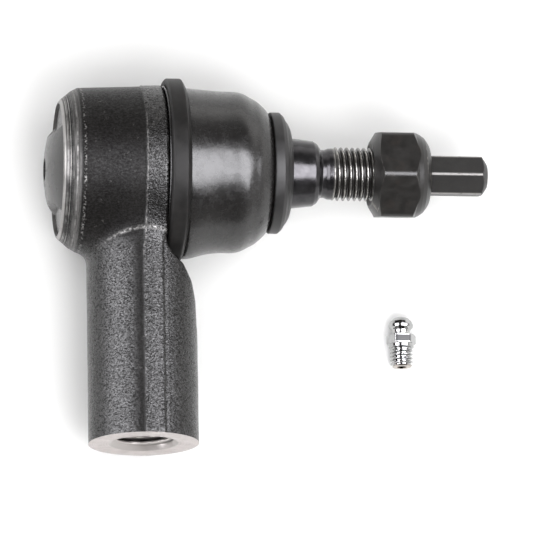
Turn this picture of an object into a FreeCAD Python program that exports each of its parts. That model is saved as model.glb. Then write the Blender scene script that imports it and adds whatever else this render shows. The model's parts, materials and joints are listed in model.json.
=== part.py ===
import FreeCAD, Part
import math
import os

os.makedirs("parts", exist_ok=True)

# Tie rod end: forged socket housing with a female rod thread, ball stud with taper, thread and hex tip,
# dust boot, lock nut and a loose grease fitting.
# Millimetres.  +X is the stud's axis towards its hex tip, -Y runs along the shank to its open mouth, +Z is up.
# The origin is the centre of the rod thread where its full thread begins, just inside the shank's mouth.

# ---------------------------------------------------------------- driving dimensions
BALL_TO_MOUTH = 72.5          # stud axis to the shank's end face
THREAD_INSET = 1.5            # end face to the first full rod thread
BALL_Y = BALL_TO_MOUTH - THREAD_INSET
FLOOR_Z = -24.2               # what the part lies on

# rod end (female) thread M16 x 1.5
ROD_MINOR_R = 7.188
ROD_SINK_R = 8.65
ROD_DEPTH = 38.5
DRILL_ANGLE = 59.0            # half angle of the drill point

# forged head and shank
HEAD_R_BACK = 21.3
HEAD_R_FRONT = 22.1
HEAD_X_BACK = -16.8
HEAD_X_FRONT = 5.2
SHANK_R = 14.2
SEAT_GROOVE_R = 20.5          # boot's seat on the housing
FRONT_X = 10.6
SOCKET_R = 17.5
COVER_STEP_X = -18.0
COVER_STEP_R = 18.5

# ball stud
BALL_R = 13.5
BALL_FLAT_X = -12.9
NECK_R = 7.5
BOOT_SEAT_R = 9.35
TAPER_X0, TAPER_R0 = 37.9, 9.35
TAPER_X1, TAPER_R1 = 45.1, 8.48
THREAD_R = 7.0                # M14 x 1.5
THREAD_X0 = 49.2
THREAD_X1 = 75.6
RELIEF_R = 6.25
HEX_TIP_AF = 10.0
HEX_TIP_X1 = 91.1
HEX_TIP_TURN = 9.0            # corner's angle from +Z towards -Y

# bearing shells
RUN = 0.05                    # running clearance, radial
SEAT_R = SOCKET_R - 0.10

# end cover
COVER_R = 18.45
CROWN_X = -25.0
PORT_R = 2.46                 # M6 x 1 minor radius
BRIDGE_HALF = 8.45            # half width of the raised bridge at the crown
BRIDGE_ARC_R = 27.6           # radius of each recess's inner edge
BRIDGE_TURN = 12.5            # bridge's axis, from +Z towards -Y
POCKET_R = 6.4

# boot, ring and collar
RING_X0, RING_X1, RING_R = 5.8, 10.2, 24.2
COLLAR_X0, COLLAR_X1 = 33.5, 39.0
COLLAR_BORE_R = BOOT_SEAT_R + 0.07

# lock nut, 22 mm across flats, with a nylon insert
NUT_AF = 22.0
NUT_X0, NUT_X1 = 60.3, 75.6
NUT_BORE_R = THREAD_R + RUN
NUT_TURN = 13.5               # corner's angle from +Z towards -Y
INSERT_X0, INSERT_X1 = 71.56, 74.40
INSERT_R = 8.95

# grease fitting, M6 x 1, lying loose
FIT_X, FIT_Y, FIT_Z = 70.9, BALL_Y - 40.0, FLOOR_Z + 3.5
FIT_LEN = 13.4
FIT_HEX_AF = 7.0
CHECK_BALL_R = 1.1


# ---------------------------------------------------------------- helpers
def about_x(points):
    """Solid of revolution about the stud's axis.  points are (x, radius) or ('arc', mid, end)."""
    edges = []
    last = None
    first = None
    for p in points:
        if p[0] == "arc":
            mid, end = p[1], p[2]
            a = FreeCAD.Vector(last[0], last[1] + BALL_Y, 0)
            m = FreeCAD.Vector(mid[0], mid[1] + BALL_Y, 0)
            e = FreeCAD.Vector(end[0], end[1] + BALL_Y, 0)
            edges.append(Part.Arc(a, m, e).toShape())
            last = end
        else:
            if last is not None:
                a = FreeCAD.Vector(last[0], last[1] + BALL_Y, 0)
                e = FreeCAD.Vector(p[0], p[1] + BALL_Y, 0)
                edges.append(Part.makeLine(a, e))
            else:
                first = p
            last = p
    if math.hypot(last[0] - first[0], last[1] - first[1]) > 1e-7:
        a = FreeCAD.Vector(last[0], last[1] + BALL_Y, 0)
        e = FreeCAD.Vector(first[0], first[1] + BALL_Y, 0)
        edges.append(Part.makeLine(a, e))
    face = Part.Face(Part.Wire(edges))
    return face.revolve(FreeCAD.Vector(0, BALL_Y, 0), FreeCAD.Vector(1, 0, 0), 360)


def about_y(points, cx=0.0, cz=0.0):
    """Solid of revolution about an axis along Y.  points are (radius, y)."""
    vs = [FreeCAD.Vector(cx + r, y, cz) for r, y in points]
    vs.append(vs[0])
    face = Part.Face(Part.makePolygon(vs))
    return face.revolve(FreeCAD.Vector(cx, 0, cz), FreeCAD.Vector(0, 1, 0), 360)


def hex_x(af, x0, x1, turn):
    """Hexagonal prism along the stud's axis, one corner turned from +Z towards -Y."""
    r = af / math.sqrt(3.0)
    vs = []
    for k in range(7):
        t = math.radians(turn + 60.0 * (k % 6))
        vs.append(FreeCAD.Vector(x0, BALL_Y - r * math.sin(t), r * math.cos(t)))
    return Part.Face(Part.makePolygon(vs)).extrude(FreeCAD.Vector(x1 - x0, 0, 0))


def hex_y(af, y0, y1, cx, cz):
    """Hexagonal prism along Y lying on a flat."""
    r = af / math.sqrt(3.0)
    vs = []
    for k in range(7):
        t = math.radians(60.0 * (k % 6))
        vs.append(FreeCAD.Vector(cx + r * math.cos(t), y0, cz + r * math.sin(t)))
    return Part.Face(Part.makePolygon(vs)).extrude(FreeCAD.Vector(0, y1 - y0, 0))


def on_sphere(r, x):
    return math.sqrt(r * r - x * x)


def coil(radius, wire_r, start, end, turns, along):
    """Round wire wound about an axis, from start to end along it."""
    height = end - start
    path = Part.makeHelix(abs(height) / turns, abs(height), radius)
    pitch_angle = math.atan2(abs(height) / turns, 2 * math.pi * radius)
    circle = Part.Wire(Part.Circle(FreeCAD.Vector(radius, 0, 0), FreeCAD.Vector(0, math.cos(pitch_angle), math.sin(pitch_angle)), wire_r).toShape())
    solid = Part.Wire(path).makePipeShell([circle], True, True)
    if along == "x":
        solid.rotate(FreeCAD.Vector(0, 0, 0), FreeCAD.Vector(0, 1, 0), 90)
        solid.translate(FreeCAD.Vector(start, BALL_Y, 0))
    else:
        solid.rotate(FreeCAD.Vector(0, 0, 0), FreeCAD.Vector(1, 0, 0), -90)
        solid.translate(FreeCAD.Vector(FIT_X, start, FIT_Z))
    return solid


def save(name, shape):
    shape = shape.removeSplitter() if name not in ("preload_spring", "fitting_spring") else shape
    solids = shape.Solids
    if len(solids) == 1:
        shape = solids[0]
    box = shape.BoundBox
    print("%-22s valid %s solids %d vol %.2f  x %.2f..%.2f y %.2f..%.2f z %.2f..%.2f" % (
        name, shape.isValid(), len(solids), shape.Volume, box.XMin, box.XMax, box.YMin, box.YMax, box.ZMin, box.ZMax))
    shape.exportStep("parts/%s.step" % name)


# ---------------------------------------------------------------- socket housing
# forged head with the rolled lip that holds the end cover, and the groove that the boot sits in
head = about_x([
    (-21.6, 17.3), (-21.1, 18.1), (-20.1, 19.0), (HEAD_X_BACK, HEAD_R_BACK),
    (HEAD_X_FRONT - 0.6, HEAD_R_FRONT), (HEAD_X_FRONT, HEAD_R_FRONT - 0.5), (HEAD_X_FRONT, SEAT_GROOVE_R),
    (FRONT_X - 0.7, SEAT_GROOVE_R), (FRONT_X, SEAT_GROOVE_R - 0.7), (FRONT_X, 0.0), (-21.6, 0.0),
])
# round shank, relieved at its shoulder so that it clears the boot's ring
shank = Part.makeCylinder(SHANK_R, BALL_TO_MOUTH - 6.0, FreeCAD.Vector(0, -THREAD_INSET, 0), FreeCAD.Vector(0, 1, 0))
relief = about_x([
    (HEAD_X_FRONT, 22.0), (HEAD_X_FRONT + 0.3, 26.0), (6.9, 27.6), (10.0, 28.9), (12.4, 31.8), (13.8, 36.0), (14.3, 40.0),
    (30.0, 40.0), (30.0, 0.0), (HEAD_X_FRONT, 0.0),
])
shank = shank.cut(relief)
housing = head.fuse(shank)
# socket bore, shoulder cone and mouth for the stud
socket = about_x([
    (-22.0, 0.0), (-22.0, 17.3), (-20.6, 17.3), (-19.1, COVER_STEP_R), (COVER_STEP_X, COVER_STEP_R), (COVER_STEP_X, SOCKET_R),
    (4.6, SOCKET_R), (8.8, 13.0), (9.0, 12.8), (FRONT_X + 0.1, 14.3), (FRONT_X + 0.1, 0.0),
])
housing = housing.cut(socket)
# rod thread bore with its countersink and drill point
bore = about_y([
    (0.0, -THREAD_INSET - 1.0), (ROD_SINK_R + 1.0, -THREAD_INSET - 1.0), (ROD_MINOR_R, -THREAD_INSET + (ROD_SINK_R - ROD_MINOR_R)),
    (ROD_MINOR_R, ROD_DEPTH), (0.0, ROD_DEPTH + ROD_MINOR_R / math.tan(math.radians(DRILL_ANGLE))),
])
housing = housing.cut(bore)
save("socket_housing", housing)

# ---------------------------------------------------------------- end cover
rim = about_x([
    (COVER_STEP_X, 0.0), (COVER_STEP_X, COVER_R), (-19.05, COVER_R), (-20.5, 17.25), (-20.9, 16.8), (-20.9, 0.0),
])
dome = about_x([
    (-20.0, 0.0), (-20.0, 17.0), (-20.9, 17.0), ("arc", (-24.0, 8.9), (CROWN_X, 0.0)),
])
turn = math.radians(BRIDGE_TURN)
sides = []
for side in (1.0, -1.0):
    u = side * (BRIDGE_HALF + BRIDGE_ARC_R)
    cy = BALL_Y + u * math.cos(turn)
    cz = u * math.sin(turn)
    sides.append(Part.makeCylinder(BRIDGE_ARC_R, 6.0, FreeCAD.Vector(-26.5, cy, cz), FreeCAD.Vector(1, 0, 0)))
bridge = dome.cut(sides[0].fuse(sides[1]))
pocket = about_x([(COVER_STEP_X + 0.5, 0.0), (COVER_STEP_X + 0.5, POCKET_R), (-21.4, POCKET_R), (-22.0, POCKET_R - 0.7), (-22.0, 0.0)])
port = Part.makeCylinder(PORT_R, 12.0, FreeCAD.Vector(-28.0, BALL_Y, 0), FreeCAD.Vector(1, 0, 0))
cover = rim.fuse(bridge).cut(pocket).cut(port)
save("end_cover", cover)

# ---------------------------------------------------------------- bearing shells and preload spring
inner = BALL_R + RUN
rear = about_x([
    (-2.5, on_sphere(inner, 2.5)), (-2.5, SOCKET_R - 0.15), (-12.0, SOCKET_R - 0.15), (-15.4, 13.8), (-15.4, 3.0),
    (-math.sqrt(inner * inner - 9.0), 3.0),
    ("arc", (-inner * math.cos(math.radians(45)), inner * math.sin(math.radians(45))), (-2.5, on_sphere(inner, 2.5))),
])
save("rear_ball_seat", rear)
front = about_x([
    (-1.0, on_sphere(inner, 1.0)), (-1.0, SEAT_R), (4.5, SEAT_R), (8.5, 13.1), (8.5, 11.9), (6.0, on_sphere(inner, 6.0)),
    ("arc", (2.6, on_sphere(inner, 2.6)), (-1.0, on_sphere(inner, 1.0))),
])
save("front_ball_seat", front)
save("preload_spring", coil(4.6, 0.9, -21.05, -16.35, 2.5, "x"))

# ---------------------------------------------------------------- ball stud
ball = Part.makeSphere(BALL_R, FreeCAD.Vector(0, BALL_Y, 0))
flat = Part.makeBox(5.0, 40.0, 40.0, FreeCAD.Vector(BALL_FLAT_X - 5.0, BALL_Y - 20.0, -20.0))
ball = ball.cut(flat)
shaft = about_x([
    (5.0, 0.0), (5.0, NECK_R), (21.0, NECK_R), (29.5, BOOT_SEAT_R), (TAPER_X0, TAPER_R0), (TAPER_X1, TAPER_R1),
    (46.1, 7.8), (47.2, RELIEF_R), (48.45, RELIEF_R), (THREAD_X0, THREAD_R), (THREAD_X1 - 0.8, THREAD_R), (THREAD_X1, THREAD_R - 0.8),
    (THREAD_X1, 0.0),
])
tip = hex_x(HEX_TIP_AF, THREAD_X1 - 2.0, HEX_TIP_X1, HEX_TIP_TURN)
tip = tip.common(about_x([
    (THREAD_X1 - 2.0, 0.0), (THREAD_X1 - 2.0, 6.2), (HEX_TIP_X1 - 1.7, 6.2), (HEX_TIP_X1 - 0.9, 5.2), (HEX_TIP_X1, 3.9), (HEX_TIP_X1, 0.0),
]))
save("ball_stud", ball.fuse(shaft).fuse(tip))

# ---------------------------------------------------------------- dust boot, ring, collar and neck ring
boot = about_x([
    (5.3, 20.55), (5.3, 22.25), (9.5, 22.25), (9.7, 21.75), (10.6, 21.72), (11.6, 21.8), (15.6, 21.4), (21.5, 21.0), (25.4, 20.95),
    (26.6, 20.6), (28.0, 19.85), (29.6, 18.95), (31.2, 17.7), (32.6, 16.3), (33.35, 15.3), (33.45, 14.6), (33.45, 10.4),
    (32.9, COLLAR_BORE_R), (31.2, COLLAR_BORE_R), (30.6, 10.6), (30.6, 14.4), (29.4, 16.3), (27.4, 17.8), (25.4, 18.7), (21.5, 18.9),
    (15.6, 19.3), (11.2, 19.9), (10.75, 20.55),
])
save("dust_boot", boot)
ring = about_x([
    (RING_X0, 22.3), (RING_X0, RING_R - 0.3), (RING_X0 + 0.3, RING_R), (RING_X1 - 0.3, RING_R), (RING_X1, RING_R - 0.3), (11.25, 21.9),
    (9.75, 21.9), (9.6, 22.3),
])
save("boot_retaining_ring", ring)
collar = about_x([
    (COLLAR_X0, COLLAR_BORE_R + 0.4), (COLLAR_X0, 11.8), (35.4, 11.8), (35.4, 13.8), (COLLAR_X0, 13.8), (COLLAR_X0, 15.3), (33.9, 15.8), (36.0, 15.8),
    (36.4, 15.3), (36.7, 14.1), (37.3, 13.5), (38.2, 12.6), (COLLAR_X1, 10.4), (COLLAR_X1, COLLAR_BORE_R + 0.25),
    (38.6, COLLAR_BORE_R), (34.0, COLLAR_BORE_R),
])
save("boot_collar", collar)
wire = Part.makeTorus(12.8, 0.85, FreeCAD.Vector(34.5, BALL_Y, 0), FreeCAD.Vector(1, 0, 0))
save("neck_ring", wire)

# ---------------------------------------------------------------- lock nut and its insert
nut = hex_x(NUT_AF, NUT_X0, NUT_X1, NUT_TURN)
nut = nut.common(about_x([
    (NUT_X0, 0.0), (NUT_X0, 8.4), (61.8, 11.0), (62.7, 13.0), (70.6, 13.0), (71.7, 11.3), (73.0, 10.6), (74.2, 9.9), (75.0, 8.8),
    (NUT_X1, 7.7), (NUT_X1, 0.0),
]))
nut_cut = about_x([
    (NUT_X0 - 1.0, 0.0), (NUT_X0 - 1.0, NUT_BORE_R + 2.2), (NUT_X0 + 1.0, NUT_BORE_R), (71.5, NUT_BORE_R), (71.5, INSERT_R + 0.05), (74.46, INSERT_R + 0.05),
    (74.46, NUT_BORE_R + 0.35), (NUT_X1 + 1.0, NUT_BORE_R + 0.35), (NUT_X1 + 1.0, 0.0),
])
save("lock_nut", nut.cut(nut_cut))
insert = about_x([
    (INSERT_X0, NUT_BORE_R), (INSERT_X0, INSERT_R), (INSERT_X1, INSERT_R), (INSERT_X1, NUT_BORE_R),
])
save("nylon_insert", insert)

# ---------------------------------------------------------------- loose grease fitting, head towards +Y
top = FIT_Y + FIT_LEN / 2.0


def at(t):
    """Station at distance t from the fitting's nipple tip."""
    return top - t


body = about_y([
    (0.0, at(0.0)), (1.5, at(0.0)), (2.2, at(0.35)), (2.9, at(1.2)), (3.3, at(2.2)), (3.2, at(2.7)), (2.45, at(3.5)), (2.3, at(4.2)), (2.6, at(4.8)),
    (3.4, at(4.9)), (3.4, at(8.2)), (3.0, at(8.5)), (3.0, at(12.9)), (2.5, at(FIT_LEN)), (0.0, at(FIT_LEN)),
], FIT_X, FIT_Z)
hexagon = hex_y(FIT_HEX_AF, at(7.3), at(4.8), FIT_X, FIT_Z).common(about_y([
    (0.0, at(7.3)), (3.7, at(7.3)), (4.2, at(6.9)), (4.2, at(5.2)), (3.6, at(4.8)), (0.0, at(4.8)),
], FIT_X, FIT_Z))
passage = about_y([
    (0.0, at(-0.5)), (0.75, at(-0.5)), (0.75, at(0.45)), (1.2, at(1.1)), (1.2, at(9.0)), (1.2, at(FIT_LEN + 0.5)), (0.0, at(FIT_LEN + 0.5)),
], FIT_X, FIT_Z)
save("fitting_body", body.fuse(hexagon).cut(passage))
ball_t = 1.72
save("fitting_check_ball", Part.makeSphere(CHECK_BALL_R, FreeCAD.Vector(FIT_X, at(ball_t), FIT_Z)))
save("fitting_spring", coil(0.72, 0.2, at(9.0 - 0.22), at(ball_t + 1.05 + 0.22), 7.0, "y"))
plug = about_y([
    (0.55, at(9.0)), (1.2, at(9.0)), (1.2, at(9.8)), (0.55, at(9.8)),
], FIT_X, FIT_Z)
save("fitting_spring_seat", plug)
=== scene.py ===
import json
import math

import bpy
import numpy as np
from mathutils import Matrix, Vector

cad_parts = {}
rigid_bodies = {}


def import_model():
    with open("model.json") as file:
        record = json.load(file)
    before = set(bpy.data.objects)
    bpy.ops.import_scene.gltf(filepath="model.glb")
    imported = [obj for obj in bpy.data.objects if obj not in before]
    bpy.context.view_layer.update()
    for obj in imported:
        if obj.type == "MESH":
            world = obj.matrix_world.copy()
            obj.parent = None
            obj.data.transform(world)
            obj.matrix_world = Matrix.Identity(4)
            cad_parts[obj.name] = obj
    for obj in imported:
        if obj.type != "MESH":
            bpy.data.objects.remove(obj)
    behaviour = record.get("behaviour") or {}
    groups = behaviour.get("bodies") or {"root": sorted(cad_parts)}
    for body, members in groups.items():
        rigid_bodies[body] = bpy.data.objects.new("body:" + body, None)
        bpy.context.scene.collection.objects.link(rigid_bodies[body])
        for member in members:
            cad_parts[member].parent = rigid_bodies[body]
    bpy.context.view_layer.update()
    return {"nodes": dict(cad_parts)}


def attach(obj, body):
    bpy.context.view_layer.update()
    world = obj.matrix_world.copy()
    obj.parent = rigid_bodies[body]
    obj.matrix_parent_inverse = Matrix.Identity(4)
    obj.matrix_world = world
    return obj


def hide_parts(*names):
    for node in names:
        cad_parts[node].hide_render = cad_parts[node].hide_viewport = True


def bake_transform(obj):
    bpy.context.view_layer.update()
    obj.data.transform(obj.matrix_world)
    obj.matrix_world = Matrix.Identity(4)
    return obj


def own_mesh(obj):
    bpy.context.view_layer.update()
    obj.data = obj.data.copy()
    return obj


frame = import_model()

MM = 0.001
BALL_Y = 71.0                 # stud axis, mm, in the row frame
FLOOR_Z = -24.2
FIT_X, FIT_Y, FIT_Z, FIT_LEN = 70.9, 31.0, -20.7, 13.4
NUT_X0, NUT_X1 = 58.9, 75.6
THREAD_X1 = 75.6


# ------------------------------------------------------------------ geometry helpers
def soften(points, radius, closed=True, n=5):
    """Rounds a profile's corners.  points are (a, b) or (a, b, own radius)."""
    pts = [np.array(p[:2], float) for p in points]
    out = []
    count = len(pts)
    for i, p in enumerate(points):
        rad = p[2] if len(p) > 2 else radius
        b = pts[i]
        if (not closed and i in (0, count - 1)) or rad <= 0:
            out.append(b)
            continue
        u, v = pts[i - 1] - b, pts[(i + 1) % count] - b
        lu, lv = np.linalg.norm(u), np.linalg.norm(v)
        u, v = u / lu, v / lv
        ang = math.acos(max(-1.0, min(1.0, float(u @ v))))
        if ang > math.pi - 0.03:
            out.append(b)
            continue
        t = min(rad / math.tan(ang / 2), 0.46 * lu, 0.46 * lv)
        rr = t * math.tan(ang / 2)
        bis = (u + v) / np.linalg.norm(u + v)
        cen = b + bis * rr / math.sin(ang / 2)
        p0, p1 = b + u * t - cen, b + v * t - cen
        a0, a1 = math.atan2(p0[1], p0[0]), math.atan2(p1[1], p1[0])
        da = (a1 - a0 + math.pi) % (2 * math.pi) - math.pi
        for k in range(n + 1):
            a = a0 + da * k / n
            out.append(cen + rr * np.array([math.cos(a), math.sin(a)]))
    return np.array(out)


def densify(pts, step, closed=True):
    out = []
    n = len(pts)
    for i in range(n if closed else n - 1):
        a, b = pts[i], pts[(i + 1) % n]
        k = max(1, int(math.ceil(np.linalg.norm(b - a) / step)))
        for j in range(k):
            out.append(a + (b - a) * j / k)
    if not closed:
        out.append(pts[-1])
    return np.array(out)


def smooth_curve(points, per=8):
    """Catmull-Rom curve through the points."""
    p = np.array(points, float)
    p = np.vstack([2 * p[0] - p[1], p, 2 * p[-1] - p[-2]])
    out = []
    for i in range(1, len(p) - 2):
        for j in range(per):
            t = j / per
            out.append(0.5 * ((2 * p[i]) + (-p[i - 1] + p[i + 1]) * t + (2 * p[i - 1] - 5 * p[i] + 4 * p[i + 1] - p[i + 2]) * t * t
                              + (-p[i - 1] + 3 * p[i] - 3 * p[i + 1] + p[i + 2]) * t ** 3))
    out.append(p[-2])
    return np.array(out)


def make_mesh(name, verts_mm, faces, sharp=35.0):
    me = bpy.data.meshes.new(name)
    me.from_pydata((np.asarray(verts_mm, float) * MM).tolist(), [], faces)
    me.validate()
    ob = bpy.data.objects.new(name, me)
    bpy.context.scene.collection.objects.link(ob)
    face_out(me)
    shade(me, sharp)
    return ob


def face_out(me):
    import bmesh
    bm = bmesh.new()
    bm.from_mesh(me)
    bmesh.ops.recalc_face_normals(bm, faces=bm.faces[:])
    bm.to_mesh(me)
    bm.free()


def shade(me, sharp):
    me.polygons.foreach_set("use_smooth", [True] * len(me.polygons))
    me.set_sharp_from_angle(angle=math.radians(sharp))
    me.update()


def ring_faces(n, m, loop):
    i = np.arange(n if loop else n - 1)[:, None]
    j = np.arange(m)[None, :]
    i2, j2 = (i + 1) % n, (j + 1) % m
    q = np.stack([i * m + j + 0 * j2, i * m + j2, i2 * m + j2, i2 * m + j], -1).reshape(-1, 4)
    return q.tolist()


def rings_mesh(name, rings, loop=False, poles=(None, None), sharp=35.0):
    """rings is (n, m, 3) in mm; poles are the points that close the first and last ring."""
    n, m = rings.shape[:2]
    verts = rings.reshape(-1, 3)
    faces = ring_faces(n, m, loop)
    for end, pole in enumerate(poles):
        if pole is None:
            continue
        k = len(verts)
        verts = np.vstack([verts, [pole]])
        base = 0 if end == 0 else (n - 1) * m
        faces += [[base + j, base + (j + 1) % m, k] for j in range(m)]
    return make_mesh(name, verts, faces, sharp)


def about_x(a, r, th):
    """a (n,1) or (n,m), r (n,m), th (m,) -> rings about the stud's axis."""
    r = np.broadcast_to(r, (r.shape[0], len(th)))
    return np.stack([np.broadcast_to(a, r.shape), BALL_Y + r * np.cos(th), r * np.sin(th)], -1)


def about_y(a, r, th, cx=0.0, cz=0.0):
    r = np.broadcast_to(r, (r.shape[0], len(th)))
    return np.stack([cx + r * np.cos(th), np.broadcast_to(a, r.shape), cz + r * np.sin(th)], -1)


def circle(m, start=0.0):
    return start + np.arange(m) * 2 * math.pi / m


def lathe_x(name, prof, m=160, sharp=35.0):
    return rings_mesh(name, about_x(prof[:, :1], prof[:, 1:2], circle(m)), loop=True, sharp=sharp)


def vee(x, th, pitch, phase=0.0):
    """Height of a right-hand 60 degree thread, 0 at the root and 1 at the crest."""
    t = (x / pitch - th / (2 * math.pi) + phase) % 1.0
    d = np.abs(t - 0.5) * 2.0
    s = np.clip((d - 0.22) / (1.0 - 0.13 - 0.22), 0.0, 1.0)
    return 0.75 * s + 0.25 * s * s * (3 - 2 * s)


def step(x, a, b):
    t = np.clip((x - a) / (b - a), 0.0, 1.0)
    return t * t * (3 - 2 * t)


def hex_radius(th, af, corner_deg, round_to):
    """Radius of a hexagon whose corner stands at corner_deg, with its corners eased to round_to."""
    t = (th - math.radians(corner_deg)) % (math.pi / 3)
    r = (af / 2) / np.cos(t - math.pi / 6)
    k = 0.16
    h = np.clip(k - np.abs(r - round_to), 0, None) / k
    return np.minimum(r, round_to) - h * h * k / 4


rng = np.random.default_rng(7)
_perm = rng.permutation(256)
_grad = rng.normal(size=(256, 3))
_grad /= np.linalg.norm(_grad, axis=1)[:, None]


def perlin(p):
    """Gradient noise at points p (n,3), about -0.7..0.7."""
    i = np.floor(p).astype(int)
    f = p - i
    u = f * f * f * (f * (f * 6 - 15) + 10)
    total = np.zeros(len(p))
    for c in range(8):
        o = np.array([c & 1, (c >> 1) & 1, (c >> 2) & 1])
        q = (i + o) & 255
        g = _grad[_perm[(_perm[(_perm[q[:, 0]] + q[:, 1]) & 255] + q[:, 2]) & 255]]
        w = np.prod(np.where(o == 1, u, 1 - u), axis=1)
        total += w * np.einsum("ij,ij->i", g, f - o)
    return total


def replace_mesh(ob, me):
    old = ob.data
    ob.data = me
    bpy.data.meshes.remove(old)


def applied(ob):
    dg = bpy.context.evaluated_depsgraph_get()
    dg.update()
    me = bpy.data.meshes.new_from_object(ob.evaluated_get(dg), depsgraph=dg)
    ob.modifiers.clear()
    replace_mesh(ob, me)


def cut(ob, cutter, keep=False):
    mod = ob.modifiers.new("cut", "BOOLEAN")
    mod.operation = "DIFFERENCE"
    try:
        mod.solver = "MANIFOLD"
    except TypeError:
        mod.solver = "EXACT"
    mod.object = cutter
    applied(ob)
    if not keep:
        bpy.data.objects.remove(cutter)


# ------------------------------------------------------------------ node helpers
class Nodes:
    def __init__(self, name):
        self.mat = bpy.data.materials.new(name)
        self.mat.use_nodes = True
        self.nt = self.mat.node_tree
        self.nt.nodes.clear()
        self.out = self.nt.nodes.new("ShaderNodeOutputMaterial")
        self.bsdf = self.nt.nodes.new("ShaderNodeBsdfPrincipled")
        self.link(self.bsdf.outputs[0], self.out.inputs["Surface"])
        tc = self.nt.nodes.new("ShaderNodeTexCoord")
        mp = self.nt.nodes.new("ShaderNodeMapping")
        mp.inputs["Scale"].default_value = (1000, 1000, 1000)
        self.link(tc.outputs["Object"], mp.inputs["Vector"])
        self.mm = mp.outputs["Vector"]
        sep = self.nt.nodes.new("ShaderNodeSeparateXYZ")
        self.link(self.mm, sep.inputs[0])
        self.x, self.y, self.z = sep.outputs

    def link(self, a, b):
        self.nt.links.new(a, b)

    def put(self, value, socket):
        if hasattr(value, "is_linked"):
            self.link(value, socket)
        else:
            socket.default_value = value

    def math(self, op, a, b=None, c=None, clamp=False):
        n = self.nt.nodes.new("ShaderNodeMath")
        n.operation = op
        n.use_clamp = clamp
        for v, s in zip((a, b, c), n.inputs):
            if v is not None:
                self.put(v, s)
        return n.outputs[0]

    def noise(self, scale, detail=3.0, rough=0.5, vec=None, distortion=0.0):
        n = self.nt.nodes.new("ShaderNodeTexNoise")
        n.inputs["Scale"].default_value = scale
        n.inputs["Detail"].default_value = detail
        n.inputs["Roughness"].default_value = rough
        n.inputs["Distortion"].default_value = distortion
        self.link(vec if vec is not None else self.mm, n.inputs["Vector"])
        return n.outputs[0]

    def voronoi(self, scale, feature="F1", vec=None):
        n = self.nt.nodes.new("ShaderNodeTexVoronoi")
        n.feature = feature
        n.inputs["Scale"].default_value = scale
        self.link(vec if vec is not None else self.mm, n.inputs["Vector"])
        return n.outputs["Distance"]

    def remap(self, v, a, b, lo=0.0, hi=1.0, smooth=False):
        n = self.nt.nodes.new("ShaderNodeMapRange")
        n.interpolation_type = "SMOOTHSTEP" if smooth else "LINEAR"
        for k, val in zip(("Value", "From Min", "From Max", "To Min", "To Max"), (v, a, b, lo, hi)):
            self.put(val, n.inputs[k])
        return n.outputs[0]

    def mix(self, fac, a, b):
        n = self.nt.nodes.new("ShaderNodeMix")
        n.data_type = "RGBA"
        self.put(fac, n.inputs["Factor"])
        for v, s in ((a, n.inputs[6]), (b, n.inputs[7])):
            if isinstance(v, tuple):
                v = (*v, 1.0) if len(v) == 3 else v
            self.put(v, s)
        return n.outputs[2]

    def lerp(self, fac, a, b):
        n = self.nt.nodes.new("ShaderNodeMix")
        n.data_type = "FLOAT"
        self.put(fac, n.inputs["Factor"])
        self.put(a, n.inputs[2])
        self.put(b, n.inputs[3])
        return n.outputs[0]

    def vector(self, x, y, z):
        n = self.nt.nodes.new("ShaderNodeCombineXYZ")
        for v, s in zip((x, y, z), n.inputs):
            self.put(v, s)
        return n.outputs[0]

    def radius(self, a, b, ca=0.0, cb=0.0):
        da = self.math("SUBTRACT", a, ca)
        db = self.math("SUBTRACT", b, cb)
        s = self.math("ADD", self.math("MULTIPLY", da, da), self.math("MULTIPLY", db, db))
        return self.math("SQRT", s)

    def bump(self, height, distance_mm, strength=1.0, below=None):
        n = self.nt.nodes.new("ShaderNodeBump")
        self.put(strength, n.inputs["Strength"])
        n.inputs["Distance"].default_value = distance_mm * MM
        self.link(height, n.inputs["Height"])
        if below is not None:
            self.link(below, n.inputs["Normal"])
        return n.outputs[0]

    def set(self, **kw):
        names = {"color": "Base Color", "metal": "Metallic", "rough": "Roughness", "normal": "Normal", "ior": "IOR",
                 "coat": "Coat Weight", "coat_rough": "Coat Roughness", "spec": "Specular IOR Level", "sss": "Subsurface Weight"}
        for k, v in kw.items():
            if isinstance(v, tuple) and len(v) == 3:
                v = (*v, 1.0)
            self.put(v, self.bsdf.inputs[names[k]])
        return self.mat


def edge_wear_and_highlight(g, amount=1.0):
    """Brighter metal where the surface is convex: pointiness, broken up by noise."""
    geo = g.nt.nodes.new("ShaderNodeNewGeometry")
    p = g.remap(geo.outputs["Pointiness"], 0.52, 0.60, 0.0, amount)
    return g.math("MULTIPLY", p, g.remap(g.noise(0.9, 4.0), 0.35, 0.62), clamp=True)


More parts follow.
